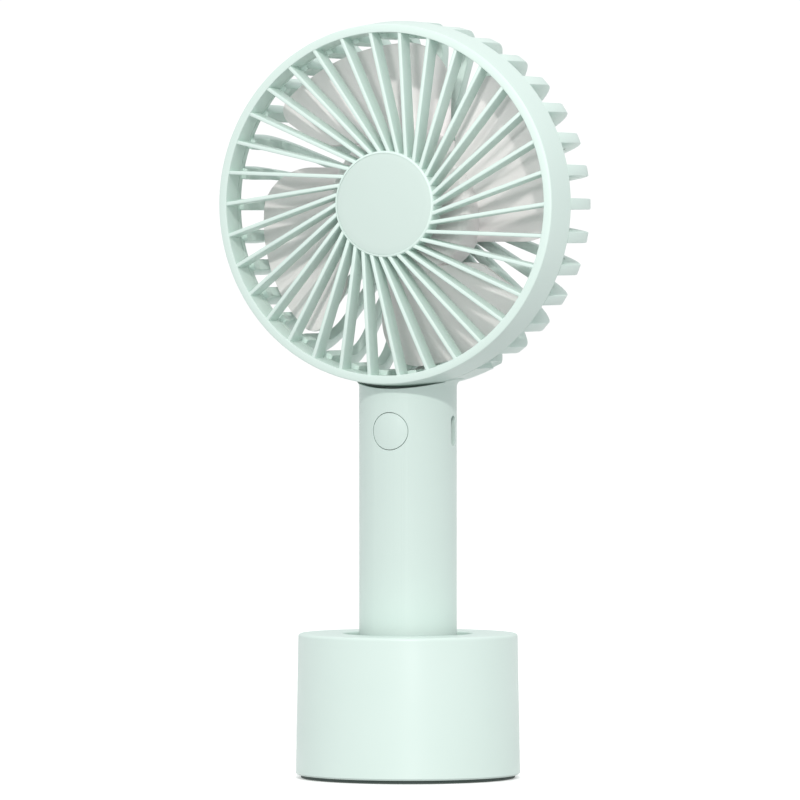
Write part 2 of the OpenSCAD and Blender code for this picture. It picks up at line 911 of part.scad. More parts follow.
module impeller() {
    edge = 2.4;
    back = impeller_depth + impeller_hub_len;
    boss_r = 3.2;
    inner_r = impeller_hub_r - hub_wall;
    face_back = impeller_depth + hub_face;
    outline = concat(
        [[shaft_r, impeller_depth]],
        [for (p = arc(impeller_hub_r - edge, -impeller_depth - edge, edge, 90, 0, 6)) [p[0], -p[1]]],
        [[impeller_hub_r, back], [inner_r, back], [inner_r, face_back]],
        [[yoke_r + 1.3, face_back], [yoke_r + 1.3, yoke_depth + 3], [yoke_r + touch, yoke_depth + 3]],
        [[yoke_r + touch, face_back], [boss_r, face_back]],
        [[boss_r, yoke_depth + 1.4], [shaft_r, yoke_depth + 1.4]]);
    color(blade_grey)
        in_head() {
            rotate_extrude($fn = 128)
                polygon(deep(outline));
            around(8, 22.5)
                translate([yoke_r + 0.9, -0.5, at(back - 3)])
                    cube([inner_r - yoke_r - 0.5, 1, back - 3 - face_back + 0.3]);
            around(blade_count)
                blade();
        }
}

module rotor_yoke() {
    outline = deep([
        [3.3, yoke_depth], [yoke_r, yoke_depth], [yoke_r, yoke_depth + yoke_len],
        [yoke_r - yoke_wall, yoke_depth + yoke_len], [yoke_r - yoke_wall, yoke_depth + yoke_wall],
        [3.3, yoke_depth + yoke_wall]]);
    color(steel)
        in_head()
            rotate_extrude()
                polygon(outline);
}

module magnet_ring() {
    color("#3a3d40")
        in_head()
            ring_at(magnet_out_r, yoke_depth + 1.4, yoke_depth + yoke_len - 0.4, magnet_in_r);
}

module motor_shaft() {
    color("#d5d8da")
        in_head()
            ring_at(shaft_r, impeller_depth + 0.6, head_depth - 3);
}

module shaft_clip() {
    color(steel)
        in_head()
            difference() {
                ring_at(shaft_r + 0.9, head_depth - 3.8, head_depth - 3.3, shaft_r);
                translate([0, -0.3, at(head_depth)])
                    cube([4, 0.6, 6]);
            }
}

// Front grille

module front_ring() {
    outer_edge = 0.9;
    inner_edge = 0.35;
    outline = concat(
        [for (p = arc(ring_in_r + inner_edge, -inner_edge, inner_edge, 180, 90, 4)) [p[0], -p[1]]],
        [for (p = arc(ring_front_r - outer_edge, -outer_edge, outer_edge, 90, 5, 6)) [p[0], -p[1]]],
        [[head_r, ring_depth - 0.3], [head_r - 0.3, ring_depth], [lap_r, ring_depth]],
        [[lap_r, lap_depth], [ring_in_r, lap_depth]]);
    rotate_extrude($fn = 180)
        polygon(deep(outline));
}

// Groove and way in for one bayonet lug
module lug_way() {
    groove_r = rim_out_r + lug_h + 0.25;
    slack = 1;
    rotate([0, 0, -lug_angle / 2 - twist_max - slack])
        rotate_extrude(angle = lug_angle + twist_max + 2 * slack, $fn = 180)
            polygon(deep([
                [lap_r - 0.5, lug_depth - 0.25], [groove_r, lug_depth - 0.25],
                [groove_r, lug_depth + lug_t + 0.25], [lap_r - 0.5, lug_depth + lug_t + 0.25]]));
    rotate([0, 0, -lug_angle / 2 - twist_max - slack])
        rotate_extrude(angle = lug_angle + 2 * slack, $fn = 180)
            polygon(deep([
                [lap_r - 0.5, lug_depth], [groove_r, lug_depth],
                [groove_r, ring_depth + 1], [lap_r - 0.5, ring_depth + 1]]));
}

module spoke(angle) {
    pitch = 360 / spoke_count;
    hub_end_r = grille_hub_d / 2 - 0.25;
    outer_end_r = ring_in_r + 0.8;
    a = [outer_end_r * cos(angle), outer_end_r * sin(angle)];
    inner_angle = angle - spoke_lag * pitch;
    b = [hub_end_r * cos(inner_angle), hub_end_r * sin(inner_angle)];
    run = b - a;
    translate([a[0], a[1], at(spoke_depth + 0.25)])
        rotate([0, 0, atan2(run[1], run[0])])
            translate([0, -spoke_w / 2, 0])
                cube([norm(run), spoke_w, spoke_depth]);
}

module front_grille() {
    hub_r = grille_hub_d / 2;
    seat_r = hub_r - 0.6;
    rim_chamfer = 0.35;
    outline = deep([
        [seat_r, 0], [hub_r - rim_chamfer, 0], [hub_r, rim_chamfer], [hub_r, spoke_depth + 0.25],
        [hub_r - 1.4, spoke_depth + 0.25], [hub_r - 1.4, badge_t + 1.6], [0, badge_t + 1.6],
        [0, badge_t + 0.1], [seat_r, badge_t + 0.1]]);
    color(mint)
        in_head()
            difference() {
                union() {
                    front_ring();
                    rotate_extrude()
                        polygon(outline);
                    for (i = [0:spoke_count - 1])
                        spoke(90 + (i + 0.5) * 360 / spoke_count);
                }
                around(lug_count, 30)
                    lug_way();
            }
}

module grille_badge() {
    badge_r = grille_hub_d / 2 - 0.7;
    edge = 0.3;
    outline = deep([
        [0, 0.05], [badge_r * 0.6, 0.08], [badge_r - edge, 0.2], [badge_r, 0.2 + edge],
        [badge_r, badge_t + 0.1], [0, badge_t + 0.1]]);
    color(mint)
        in_head()
            rotate_extrude()
                polygon(outline);
}

foot_pad();
base_plate();
base_screws();
ballast_weight();
base_shell();
socket_liner();
handle_shell();
bottom_cap();
cap_screws();
inner_frame();
battery_cell();
battery_tabs();
battery_leads();
circuit_board();
board_parts();
board_screws();
switch_body();
charge_socket();
socket_tongue();
rear_grille();
motor_mount();
motor_screws();
ball_bearings();
stator_core();
stator_insulator();
stator_windings();
motor_board();
motor_leads();
impeller();
rotor_yoke();
magnet_ring();
motor_shaft();
shaft_clip();
front_grille();
grille_badge();
button_cap();
switch_plunger();
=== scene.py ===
# %% [markdown]
# # A hand-held fan in its desk dock
# The object is a small battery fan: a round caged head on a slim handle that stands in a
# weighted dock. The engineering model is loaded first and stays fixed. It gives the places,
# sizes and joints, and this lesson only adds the finished surfaces and the light.

# %% Load the frame
import bpy
import bmesh
import math
from mathutils import Matrix, Vector


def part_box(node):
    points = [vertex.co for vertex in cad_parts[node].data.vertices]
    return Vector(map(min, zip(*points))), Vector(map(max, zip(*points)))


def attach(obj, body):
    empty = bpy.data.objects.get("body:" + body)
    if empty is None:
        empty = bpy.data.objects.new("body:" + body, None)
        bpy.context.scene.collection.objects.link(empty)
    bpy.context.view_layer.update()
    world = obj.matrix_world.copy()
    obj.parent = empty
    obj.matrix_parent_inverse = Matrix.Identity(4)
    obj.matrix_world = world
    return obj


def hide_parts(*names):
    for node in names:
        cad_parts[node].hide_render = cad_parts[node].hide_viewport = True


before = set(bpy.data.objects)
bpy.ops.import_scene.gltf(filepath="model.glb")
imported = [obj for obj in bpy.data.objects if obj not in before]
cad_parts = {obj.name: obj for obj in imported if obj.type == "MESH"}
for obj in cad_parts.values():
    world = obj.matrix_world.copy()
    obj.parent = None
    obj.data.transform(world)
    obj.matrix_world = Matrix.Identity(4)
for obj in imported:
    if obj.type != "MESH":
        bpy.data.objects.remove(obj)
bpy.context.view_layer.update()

# %% [markdown]
# All the measures come from the boxes of the engineering nodes. The head is a drum whose axis
# runs front to back, so its radius, its centre and its depths are read from the front cover
# and from the back grille. The handle and the dock are turned about the vertical axis.

# %% Read the main sizes
MM = 0.001
cover_low, cover_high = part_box("front_grille")
back_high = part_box("rear_grille")[1]
badge_low, badge_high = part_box("grille_badge")
cap_low, cap_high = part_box("bottom_cap")
button_low, button_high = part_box("button_cap")
dock_low, dock_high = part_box("base_shell")
pad_low, pad_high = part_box("foot_pad")
liner_low, liner_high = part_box("socket_liner")
blade_low, blade_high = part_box("impeller")
head_r = (cover_high.x - cover_low.x) / 2
head_z = (cover_high.z + cover_low.z) / 2
front = cover_low.y
head_depth = back_high.y - front
badge_r = (badge_high.x - badge_low.x) / 2
handle_r = (cap_high.x - cap_low.x) / 2
dock_r = (dock_high.x - dock_low.x) / 2
dock_top = dock_high.z
print("head radius", round(head_r / MM, 2), "depth", round(head_depth / MM, 2))
print("handle radius", round(handle_r / MM, 2), "dock radius", round(dock_r / MM, 2))

# %% [markdown]
# A straight start: whatever the file holds is deselected before an operator adds or edits
# something, because operators act on the whole selection. The small helpers below do this and
# nothing clever, and every piece uses them.

# %% Helpers that keep the selection clean
def only(piece):
    """Selects this piece alone and makes it active."""
    if bpy.context.mode != "OBJECT":
        bpy.ops.object.mode_set(mode="OBJECT")
    bpy.ops.object.select_all(action="DESELECT")
    piece.select_set(True)
    bpy.context.view_layer.objects.active = piece
    return piece


def fresh(name):
    """Names the object that an operator has just added."""
    piece = bpy.context.view_layer.objects.active
    piece.name = name
    piece.data.name = name
    return only(piece)


def settle(piece):
    """Puts the piece's place into its mesh, so that the object sits at the origin."""
    only(piece)
    bpy.ops.object.transform_apply(location=True, rotation=True, scale=True)
    return piece


def pick(piece, what, test):
    """Enters edit mode with only those verts, edges or faces selected that pass the test."""
    only(piece)
    bpy.ops.object.mode_set(mode="EDIT")
    bpy.ops.mesh.select_mode(type=what)
    bpy.ops.mesh.select_all(action="DESELECT")
    mesh = bmesh.from_edit_mesh(piece.data)
    group = {"VERT": mesh.verts, "EDGE": mesh.edges, "FACE": mesh.faces}[what]
    chosen = 0
    for element in group:
        if test(element):
            element.select_set(True)
            chosen += 1
    mesh.select_flush_mode()
    bmesh.update_edit_mesh(piece.data)
    return chosen


print("selection helpers ready")

# %% Helpers that finish a piece
def apply_modifier(piece, kind, **settings):
    """Adds one modifier with these settings and applies it."""
    only(piece)
    modifier = piece.modifiers.new(kind.lower(), kind)
    for key, value in settings.items():
        setattr(modifier, key, value)
    bpy.ops.object.modifier_apply(modifier=modifier.name)
    return piece


def smooth(piece, degrees=32):
    """Shades a piece smooth, except over edges sharper than this."""
    only(piece)
    bpy.ops.object.shade_smooth_by_angle(angle=math.radians(degrees))
    return piece


def give(piece, material):
    """Gives a piece this one finish."""
    piece.data.materials.clear()
    piece.data.materials.append(material)
    return piece


def block(name, middle, size, rotation=(0, 0, 0)):
    """A block of this size about a middle, turned if need be."""
    bpy.ops.object.select_all(action="DESELECT")
    bpy.ops.mesh.primitive_cube_add(size=1, location=middle, scale=size, rotation=rotation)
    return settle(fresh(name))


print("helpers ready")

# %% [markdown]
# ## The look: camera, light and floor
# The fan stands at eye height on a pale surface and is seen from slightly to its right with a
# long lens, so its verticals stay upright. A long lens far away flattens the shape a little,
# which is how a product is usually shown.

# %% Camera
aim = Vector((0, 0, 0.1085))
azimuth = math.radians(22.5)
right = Vector((math.cos(azimuth), math.sin(azimuth), 0))
towards = Vector((math.sin(azimuth), -math.cos(azimuth), 0))
camera_data = bpy.data.cameras.new("camera")
camera = bpy.data.objects.new("camera", camera_data)
bpy.context.scene.collection.objects.link(camera)
aim_shift, distance, rise = 2.3 * MM, 2.4, 42.5 * MM
target = aim - aim_shift * right
camera.location = target + distance * towards + Vector((0, 0, rise))
camera.rotation_euler = (target - camera.location).to_track_quat("-Z", "Y").to_euler()
camera_data.sensor_width = 36
camera_data.lens = 376
camera_data.clip_start = 0.05
camera_data.clip_end = 20
camera_data.dof.use_dof = False
bpy.context.scene.camera = camera
print("camera at", [round(v, 3) for v in camera.location])

# %% [markdown]
# The floor is a wide round sheet of white paper, a filled circle with one inset ring. Its edge is
# so far away that it melts into the white surroundings. It is kept out of the bounced light, so
# that the fan isn't lit from below.

# %% Floor
bpy.ops.object.select_all(action="DESELECT")
floor_r, floor_ring, below = 5.0, 4.0, 0.1 * MM
bpy.ops.mesh.primitive_circle_add(vertices=128, radius=floor_r, fill_type="NGON",
                                  location=(0, 0, -below))
floor = settle(fresh("floor"))
pick(floor, "FACE", lambda face: True)
bpy.ops.mesh.inset(thickness=floor_ring, depth=0)
bpy.ops.object.mode_set(mode="OBJECT")
floor.visible_diffuse = False
print("floor", [round(v, 2) for v in floor.dimensions])

# %% [markdown]
# One lamp does most of the work: a hard one from the right and above, whose shadow of the cage
# falls on the handle and on the blades. Two weak soft spots lift the head's front and the dock,
# as a reflector card does in a studio.

# %% Lamps
sun_data = bpy.data.lights.new("key", "SUN")
sun_data.energy = 1.1
sun_data.angle = math.radians(2.5)
sun_data.color = (1.0, 0.985, 0.96)
sun = bpy.data.objects.new("key", sun_data)
bpy.context.scene.collection.objects.link(sun)
sun_side, sun_height = math.radians(23), math.radians(32)
sun_from = Vector((math.sin(sun_side) * math.cos(sun_height),
                   -math.cos(sun_side) * math.cos(sun_height), math.sin(sun_height)))
sun.rotation_euler = sun_from.to_track_quat("Z", "Y").to_euler()


def soft_spot(name, place, middle, width, watts):
    """A weak lamp with a soft edge, which lights a round area of this width about a middle."""
    data = bpy.data.lights.new(name, "SPOT")
    way = Vector(place) - Vector(middle)
    data.spot_size = 2 * math.atan(width / 2 / way.length)
    data.spot_blend = 1.0
    data.shadow_soft_size = 0.06
    data.energy = watts
    lamp = bpy.data.objects.new(name, data)
    bpy.context.scene.collection.objects.link(lamp)
    lamp.location = place
    lamp.rotation_euler = way.to_track_quat("Z", "Y").to_euler()


soft_spot("head card", place=(0.2, -0.9, 0.3), middle=(0.025, -0.02, 0.186), width=0.155, watts=9.5)
soft_spot("dock card", place=(0.4, -0.85, 0.12), middle=(0, -0.03, 0.019), width=0.105, watts=6.3)
print("light from", [round(v, 2) for v in sun_from])

# %% [markdown]
# The surroundings fill the shadows. They are brighter above the horizon than below, so that
# undersides stay darker. What is seen directly behind the fan is plain white paper.

# %% Surroundings
world = bpy.data.worlds.new("surroundings")
bpy.context.scene.world = world
world.use_nodes = True
sky = world.node_tree
soft = sky.nodes["Background"]
direction = sky.nodes.new("ShaderNodeTexCoord")
parts = sky.nodes.new("ShaderNodeSeparateXYZ")
level = sky.nodes.new("ShaderNodeMapRange")
ramp_half, dim_below, bright_above = 0.25, 0.52, 0.88
for socket, value in ((1, -ramp_half), (2, ramp_half), (3, dim_below), (4, bright_above)):
    level.inputs[socket].default_value = value
sky.links.new(direction.outputs["Generated"], parts.inputs[0])
sky.links.new(parts.outputs["Z"], level.inputs[0])
sky.links.new(level.outputs[0], soft.inputs["Strength"])
soft.inputs["Color"].default_value = (0.97, 0.985, 1.0, 1)
seen = sky.nodes.new("ShaderNodeBackground")
seen.inputs["Color"].default_value = (1, 1, 1, 1)
seen.inputs["Strength"].default_value = 1.05
ray = sky.nodes.new("ShaderNodeLightPath")
either = sky.nodes.new("ShaderNodeMixShader")
sky.links.new(ray.outputs["Is Camera Ray"], either.inputs[0])
sky.links.new(soft.outputs[0], either.inputs[1])
sky.links.new(seen.outputs[0], either.inputs[2])
sky.links.new(either.outputs[0], sky.nodes["World Output"].inputs["Surface"])
bpy.context.scene.view_settings.view_transform = "Standard"
print("surroundings from", dim_below, "below to", bright_above, "above")

# %% [markdown]
# ## Finishes
# Each finish is named for what the real one is and how its surface was made. Colours are
# written as sRGB hex, as a maker's colour card gives them, and one function turns them to
# the linear values that Blender mixes. Patterns are set by a real size in millimetres.

# %% Colours, nodes and the start of a finish
def linear(card):
    """The linear colour of an sRGB hex such as d8efe6."""
    values = []
    for start in (0, 2, 4):
        v = int(card[start:start + 2], 16) / 255
        values.append(v / 12.92 if v <= 0.04045 else ((v + 0.055) / 1.055) ** 2.4)
    return (*values, 1.0)


def add(tree, kind, inputs=None, **settings):
    """Adds a node; an input is a value, or (node, output) for a link."""
    node = tree.nodes.new("ShaderNode" + kind)
    for key, value in settings.items():
        setattr(node, key, value)
    for key, value in (inputs or {}).items():
        if isinstance(value, tuple) and hasattr(value[0], "outputs"):
            tree.links.new(value[0].outputs[value[1]], node.inputs[key])
        else:
            node.inputs[key].default_value = value
    return node


def finish_named(name, card, ior, roughness, metallic=0.0):
    """A new material whose shader has this colour and these constants."""
    material = bpy.data.materials.new(name)
    material.use_nodes = True
    tree = material.node_tree
    shader = tree.nodes["Principled BSDF"]
    shader.inputs["Base Color"].default_value = linear(card)
    shader.inputs["Roughness"].default_value = roughness
    shader.inputs["Metallic"].default_value = metallic
    if metallic < 0.5:
        shader.inputs["IOR"].default_value = ior
    material.diffuse_color = linear(card)
    return material, tree, shader


print("white card is", [round(v, 3) for v in linear("ffffff")])

# %% [markdown]
# Most of the fan is moulded plastic. Its mould is grained, which gives a fine bump, and the
# plastic cools unevenly, which gives wide clouds of slightly different tint and gloss.

# %% Moulded plastic
cloud_size = 18 * MM


def moulded(name, card, shade_card, ior, roughness, grain, depth, cloud=cloud_size):
    """Injection-moulded plastic: a fine spark-eroded grain, and clouds of slight tint and gloss."""
    material, tree, shader = finish_named(name, card, ior, roughness)
    place = add(tree, "TexCoord")
    clouds = add(tree, "TexNoise", {"Vector": (place, "Object"), "Scale": 1 / cloud, "Detail": 3.0})
    speck = add(tree, "TexNoise", {"Vector": (place, "Object"), "Scale": 1 / grain, "Detail": 2.0})
    tint = add(tree, "Mix", {"Factor": (clouds, 0)}, data_type="RGBA")
    tint.inputs[6].default_value = linear(card)
    tint.inputs[7].default_value = linear(shade_card)
    gloss = add(tree, "MapRange", {0: (clouds, 0), 1: 0.3, 2: 0.7,
                                   3: roughness - 0.04, 4: roughness + 0.05})
    bump = add(tree, "Bump", {"Height": (speck, 0), "Distance": depth, "Strength": 0.6})
    tree.links.new(tint.outputs[2], shader.inputs["Base Color"])
    tree.links.new(gloss.outputs[0], shader.inputs["Roughness"])
    tree.links.new(bump.outputs[0], shader.inputs["Normal"])
    return material


print("cloud size in mm:", round(cloud_size / MM))

# %% [markdown]
# The housings are moulded ABS in pale mint. The tool is spark-eroded to a silky grain of about
# 0.1 mm, which scatters the highlight into a soft sheen. It is drawn at 0.25 mm, because 0.1 mm
# would be finer than a render can show.
#
# Three cards are fitted to this scene's light and not measured on the plastic. The handle and
# the disc in the middle get a deeper mint than the ring and the dock, as painted shade that
# balances the spots that shine on them. On the real fan they may well be one plastic. The wheel's
# card is nearly white, as painted light against the shade and green tint that the cage around
# it gives, so in the open the wheel would look too light.

# %% Plastics
mint = moulded("mint ABS, fine moulded grain", "dff0e9", "dbede5", 1.54, 0.38, 0.25 * MM, 0.012 * MM)
shaded_mint_handle = moulded("mint ABS, handle, deeper as painted shade", "d8e9e2", "d4e5de", 1.54, 0.4, 0.25 * MM, 0.012 * MM)
shaded_mint_disc = moulded("mint ABS, matt disc, deeper as painted shade", "d0e0d9", "ccdcd5", 1.54, 0.5, 0.25 * MM, 0.012 * MM)
# The wheel's near-white card is painted light that makes up for the cage's shade.
blade_plastic = moulded("warm grey polypropylene, satin", "f9f2f2", "f5eeee", 1.49, 0.38, 0.5 * MM, 0.01 * MM)
white_plastic = moulded("white ABS, plain mould", "e9e9e4", "e4e4de", 1.54, 0.4, 0.4 * MM, 0.008 * MM)
dark_liner = moulded("sage grey elastomer lining, matt", "6f7f77", "6a7a72", 1.5, 0.62, 0.3 * MM, 0.015 * MM)
foot_rubber = moulded("dark silicone rubber, matt", "4d5a54", "48544f", 1.42, 0.7, 0.35 * MM, 0.02 * MM)
black_nylon = moulded("black glass-filled nylon", "1f2123", "26282a", 1.53, 0.45, 0.3 * MM, 0.015 * MM)
insulator_plastic = moulded("natural PBT coil former", "d9d6c8", "d3d0c1", 1.55, 0.42, 0.4 * MM, 0.01 * MM)
cell_wrap = moulded("heat-shrunk PVC cell sleeve", "2f7f86", "2b777e", 1.54, 0.3, 1.2 * MM, 0.02 * MM, 9 * MM)
wire_sleeve = moulded("soft silicone wire sleeve", "c9cbc8", "c2c4c1", 1.42, 0.5, 0.3 * MM, 0.01 * MM, 6 * MM)
laminate = moulded("green solder-masked laminate", "1f5a3c", "1b5237", 1.55, 0.28, 0.5 * MM,
                   0.015 * MM, 5 * MM)
print("plastics:", len(bpy.data.materials))

# %% [markdown]
# The floor is matt white paper lit from below as well, as on a light table, so the shadow of
# the fan on it almost disappears.

# %% Light table
paper, paper_tree, paper_shader = finish_named("matt white paper", "f5f5f3", 1.45, 0.9)
paper_place = add(paper_tree, "TexCoord")
fibre_size = 0.6 * MM
fibre = add(paper_tree, "TexNoise", {"Vector": (paper_place, "Object"), "Scale": 1 / fibre_size,
                                     "Detail": 2.0})
fibre_bump = add(paper_tree, "Bump", {"Height": (fibre, 0), "Distance": 0.01 * MM, "Strength": 0.3})
paper_tree.links.new(fibre_bump.outputs[0], paper_shader.inputs["Normal"])
paper_shader.inputs["Emission Color"].default_value = (1, 1, 1, 1)
paper_shader.inputs["Emission Strength"].default_value = 0.3
floor.data.materials.append(paper)
print("floor finish:", paper.name)

# %% [markdown]
# The metal parts are inside: zinc-plated screws, a blackened steel motor can, sintered magnets,
# lacquered copper coils and bearing steel. Each keeps the default index of a metal, and turning
# or plating marks are drawn as fine noise stretched along the axis of the part.

# %% Metals and ceramics
def metal(name, card, roughness, mark, depth, stretch=(1, 1, 1)):
    """Bare or plated metal with fine marks; stretch lengthens them along one axis."""
    material, tree, shader = finish_named(name, card, 1.45, roughness, 1.0)
    place = add(tree, "TexCoord")
    along = add(tree, "Mapping", {"Vector": (place, "Object"), "Scale": stretch})
    marks = add(tree, "TexNoise", {"Vector": (along, 0), "Scale": 1 / mark, "Detail": 3.0})
    gloss = add(tree, "MapRange", {0: (marks, 0), 1: 0.3, 2: 0.7,
                                   3: roughness * 0.75, 4: roughness * 1.3})
    bump = add(tree, "Bump", {"Height": (marks, 0), "Distance": depth, "Strength": 0.5})
    tree.links.new(gloss.outputs[0], shader.inputs["Roughness"])
    tree.links.new(bump.outputs[0], shader.inputs["Normal"])
    return material


zinc_steel = metal("zinc-plated steel screws", "c9ccce", 0.32, 0.4 * MM, 0.01 * MM)
dark_steel = metal("blackened steel motor can", "5a5d61", 0.38, 0.3 * MM, 0.008 * MM, (1, 0.1, 1))
bearing_steel = metal("ground bearing steel", "b9bcc0", 0.22, 0.25 * MM, 0.005 * MM, (1, 0.1, 1))
brass = metal("turned brass bearing tube", "c9a45c", 0.28, 0.3 * MM, 0.008 * MM, (1, 0.1, 1))
ballast_iron = metal("cast and painted ballast iron", "54575a", 0.55, 1.0 * MM, 0.05 * MM)
lamination = metal("stacked electrical steel", "8b8e92", 0.42, 0.5 * MM, 0.02 * MM, (0.2, 1, 0.2))
copper = metal("lacquered copper wire coils", "b5683a", 0.3, 0.3 * MM, 0.05 * MM, (1, 0.3, 1))
ferrite = moulded("sintered ferrite magnet", "3b3c3f", "424346", 1.9, 0.5, 0.2 * MM, 0.01 * MM, 3 * MM)
print("finishes:", len(bpy.data.materials))

# %% [markdown]
# The inner parts keep the engineering shape, because it is already the right one. They only
# get their finish, by name, in their own material slots.

# %% Finish of the carried engineering nodes
carried = {
    "base_plate": black_nylon, "base_screws": zinc_steel, "ballast_weight": ballast_iron,
    "bottom_cap": mint, "cap_screws": zinc_steel, "inner_frame": white_plastic,
    "battery_cell": cell_wrap, "battery_tabs": bearing_steel, "battery_leads": wire_sleeve,
    "circuit_board": laminate, "board_parts": black_nylon, "board_screws": zinc_steel,
    "switch_body": black_nylon, "charge_socket": bearing_steel, "socket_tongue": black_nylon,
    "motor_mount": brass, "motor_screws": zinc_steel, "ball_bearings": bearing_steel,
    "stator_core": lamination, "stator_insulator": insulator_plastic, "stator_windings": copper,
    "motor_board": laminate, "motor_leads": wire_sleeve, "rotor_yoke": dark_steel,
    "magnet_ring": ferrite, "motor_shaft": bearing_steel, "shaft_clip": dark_steel,
    "switch_plunger": white_plastic, "base_shell": mint, "foot_pad": foot_rubber,
    "socket_liner": dark_liner, "handle_shell": mint, "rear_grille": mint,
    "impeller": blade_plastic, "front_grille": mint, "grille_badge": mint, "button_cap": mint,
}
for node, material in carried.items():
    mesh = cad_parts[node].data
    mesh.materials.clear()
    mesh.materials.append(material)
print("nodes with a finish:", len(carried), "of", len(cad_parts))


def place_piece(piece, body, node):
    """A finished piece rides on its body and stands for its node, which is hidden."""
    only(piece)
    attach(piece, body)
    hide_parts(node)
    low = [min(v.co[i] for v in piece.data.vertices) * 1000 for i in range(3)]
    high = [max(v.co[i] for v in piece.data.vertices) * 1000 for i in range(3)]
    print(piece.name, "mm", [round(v, 1) for v in low], [round(v, 1) for v in high])

# %% [markdown]
# ## Turned shapes
# The dock, the foot, the handle, the ring of the cage and the hubs are all shapes of
# revolution. By hand one would draw half of the outline and spin it. Here one vertex is
# extruded from point to point along the outline, and the chain is spun about the axis, so the
# outline stays easy to change. The doubles are merged before the normals are recalculated.

# %% The outline and its spin
def turned(name, outline, axis="Z", centre=(0, 0, 0), steps=192, sweep=360, start=0):
    """Spins a closed outline of (radius, distance along the axis) about an upright axis (Z) or
    about the head's axis (Y). A partial sweep is closed at both ends."""
    hub = Vector(centre)
    turn = math.radians(start)
    if axis == "Z":
        across, along = Vector((math.cos(turn), math.sin(turn), 0)), Vector((0, 0, 1))
    else:
        across, along = Vector((math.cos(turn), 0, math.sin(turn))), Vector((0, 1, 0))
    points = [hub + across * r + along * a for r, a in outline]
    bpy.ops.object.select_all(action="DESELECT")
    bpy.ops.mesh.primitive_plane_add(size=0.0001, location=points[0])
    piece = settle(fresh(name))
    bpy.ops.object.mode_set(mode="EDIT")
    bpy.ops.mesh.select_mode(type="VERT")
    bpy.ops.mesh.select_all(action="SELECT")
    bpy.ops.mesh.merge(type="CENTER")
    for before, after in zip(points, points[1:] + points[:1]):
        bpy.ops.mesh.extrude_region_move(TRANSFORM_OT_translate={"value": after - before})
    bpy.ops.mesh.select_all(action="SELECT")
    bpy.ops.mesh.remove_doubles(threshold=2e-6)
    if sweep < 360:
        bpy.ops.mesh.edge_face_add()
        bpy.ops.mesh.select_all(action="SELECT")
    bpy.ops.mesh.spin(steps=steps, angle=math.radians(sweep), center=hub, axis=along)
    bpy.ops.mesh.select_all(action="SELECT")
    bpy.ops.mesh.remove_doubles(threshold=2e-6)
    bpy.ops.mesh.normals_make_consistent(inside=False)
    bpy.ops.object.mode_set(mode="OBJECT")
    return piece


def corner(r, a, radius, first, last, steps=6):
    """Points of a rounded corner about (r, a), from one angle to another in degrees."""
    angles = [math.radians(first + (last - first) * i / steps) for i in range(steps + 1)]
    return [(r + radius * math.cos(t), a + radius * math.sin(t)) for t in angles]


print("turning helper ready")

# %% [markdown]
# ## The dock
# The real dock is one moulded cup turned upside down over a ballast ring. Its wall leans in by
# a fraction of a degree so that it leaves the tool, its upper edge is rounded, and it stands on
# a thin dark pad that is set back to leave a shadow line.

# %% Dock shell
dock_top_r = dock_r - 0.7 * MM
mouth_r = (liner_high.x - liner_low.x) / 2
recess_r = min(mouth_r, handle_r + 4.45 * MM)
shell_low = dock_low.z
edge = 0.9 * MM
wall = 2.4 * MM
shell_outline = (
    [(dock_r - wall, shell_low), (dock_r - 0.45 * MM, shell_low), (dock_r, shell_low + 0.45 * MM)]
    + corner(dock_top_r - edge, dock_top - edge, edge, 0, 90, 8)
    + corner(recess_r + 0.5 * MM, dock_top - 0.5 * MM, 0.5 * MM, 90, 180, 5)
    + [(recess_r, dock_top - wall), (dock_top_r - wall, dock_top - wall)])
dock_shell = turned("dock_shell", shell_outline)
give(smooth(dock_shell), mint)
place_piece(dock_shell, "dock", "base_shell")

# %% Foot pad
pad_r = (pad_high.x - pad_low.x) / 2
pad_outline = [(0, pad_low.z), (pad_r - 0.3 * MM, pad_low.z)]
pad_outline += corner(pad_r - 0.3 * MM, pad_low.z + 0.3 * MM, 0.3 * MM, -90, 0, 4)
pad_outline += [(pad_r, pad_high.z), (0, pad_high.z)]
dock_foot = turned("dock_foot", pad_outline, steps=128)
give(smooth(dock_foot), foot_rubber)
place_piece(dock_foot, "dock", "foot_pad")

# %% [markdown]
# The socket is lined with a darker, softer material that grips the handle. Between the lining's
# mouth and the dock's top there is a ring-shaped recess, which reads as a dark gap.

# %% Socket lining
mouth_z = liner_high.z
bore_r = handle_r + 0.35 * MM
lining_r = handle_r + 2.0 * MM
floor_z = cap_low.z - 0.05 * MM
lining_outline = (
    [(0, liner_low.z), (lining_r, liner_low.z), (lining_r, mouth_z - 1.6 * MM)]
    + [(mouth_r, mouth_z - 1.6 * MM), (mouth_r, mouth_z)]
    + corner(bore_r + 0.9 * MM, mouth_z - 0.9 * MM, 0.9 * MM, 90, 180, 6)
    + [(bore_r, floor_z), (0, floor_z)])
socket_lining = turned("socket_lining", lining_outline, steps=128)
give(smooth(socket_lining), dark_liner)
place_piece(socket_lining, "dock", "socket_liner")

# %% [markdown]
# ## The cage's front
# The front cover is a deep ring: a narrow flat face, a crisp edge, and a side that widens a
# little towards the back. Its back end is stepped, so that it laps over the fixed half.

# %% Ring of the cover
axis_at = Vector((0, front, head_z))
ring_depth = cover_high.y - front
ring_wall = 3.5 * MM
ring_inner_r = head_r - ring_wall
face_r = ring_inner_r + 2.4 * MM
ring_outline = (
    corner(ring_inner_r + 0.2 * MM, 0.2 * MM, 0.2 * MM, 180, 265, 3)
    + corner(face_r - 0.35 * MM, 0.6 * MM, 0.35 * MM, -80, -4, 4)
    + [(head_r, ring_depth - 0.25 * MM), (head_r - 0.25 * MM, ring_depth),
       (head_r - 1.6 * MM, ring_depth), (head_r - 1.6 * MM, ring_depth - 4.6 * MM),
       (ring_inner_r, ring_depth - 4.6 * MM)])
cover = turned("front_cover", ring_outline, "Y", axis_at, steps=256)
print("ring of the cover:", len(cover.data.polygons), "faces")

